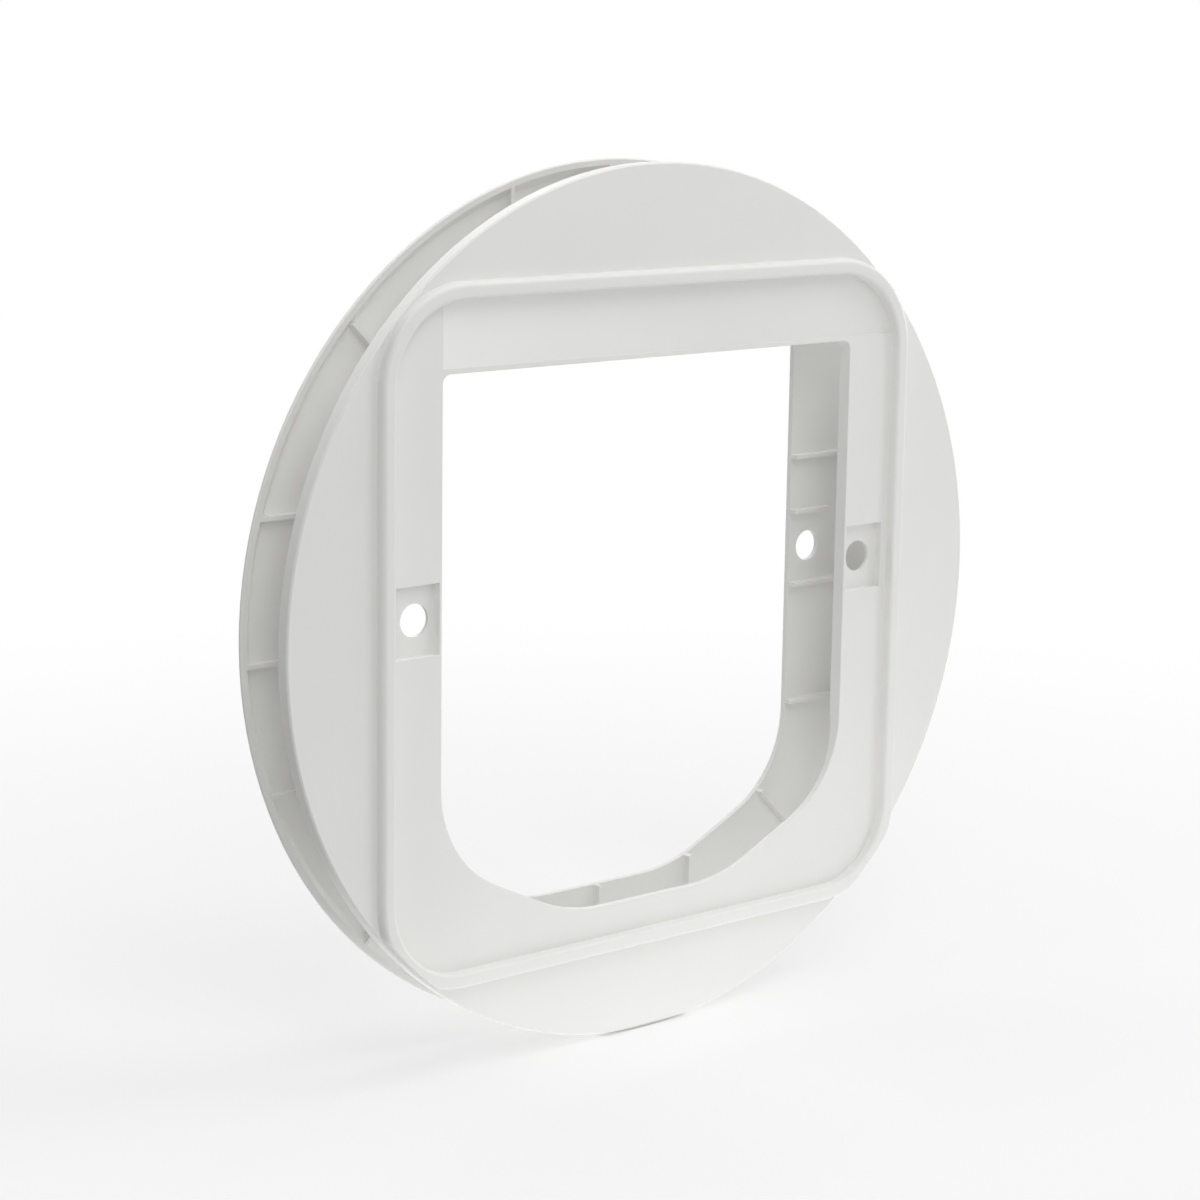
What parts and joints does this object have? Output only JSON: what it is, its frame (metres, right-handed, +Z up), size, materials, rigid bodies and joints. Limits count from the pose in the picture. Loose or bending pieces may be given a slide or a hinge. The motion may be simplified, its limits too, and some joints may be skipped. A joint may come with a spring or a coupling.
{
  "type": "cat flap mounting adaptor",
  "caption": "Round white plastic adaptor of two ribbed frames with a D-shaped opening, which clamp a pane between them and seat a cat flap inside a raised rounded-square fence.",
  "frame": {"origin": "middle of the overall box, on the axis of the two discs", "axes": "+Z up, +X to the right as seen from the front, +Y from the fenced front frame towards the rear frame"},
  "size_m": [0.285, 0.0332, 0.285],
  "materials": {
    "white_plastic": "satin moulded white"
  },
  "bodies": {
    "root": {"front_frame": "white_plastic", "rear_frame": "white_plastic"}
  },
  "joints": []
}
